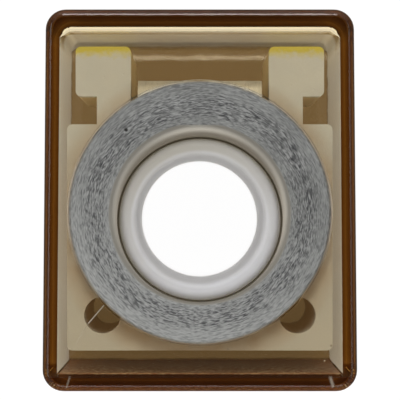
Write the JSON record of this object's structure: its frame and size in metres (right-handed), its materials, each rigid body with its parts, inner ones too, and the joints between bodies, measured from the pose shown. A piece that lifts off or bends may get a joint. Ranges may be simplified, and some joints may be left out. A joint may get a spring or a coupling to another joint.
{
  "type": "battery terminal fuse",
  "caption": "Stud-mounted battery terminal fuse: tinted clear case over a ceramic body with hooked arms, a folded metal strip and a contact washer at each end of an insulated stud bore.",
  "frame": {"origin": "on the stud axis, at the lower contact's face, which sits on the battery terminal", "axes": "+Z along the stud towards the upper contact, +Y towards the window wall with the link behind it, +X to the right seen from above with the window away from the viewer"},
  "size_m": [0.0202, 0.0245, 0.0155],
  "materials": {
    "tinted_case": "clear amber-brown moulded plastic, polished, darker along its walls",
    "white_ceramic": "fired off-white ceramic, fine dry grain",
    "white_bushing": "smooth white moulded insulator with a soft sheen",
    "tinned_strip": "smooth tin plating on copper",
    "scuffed_tin": "tin-plated copper, its flat face scuffed in circles, its rolled edge smooth"
  },
  "bodies": {
    "root": {"case": "tinted_case", "end_plate": "tinted_case", "ceramic_body": "white_ceramic", "stud_bushing": "white_bushing", "fuse_strip": "tinned_strip", "upper_contact": "scuffed_tin", "lower_contact": "scuffed_tin"}
  },
  "joints": []
}
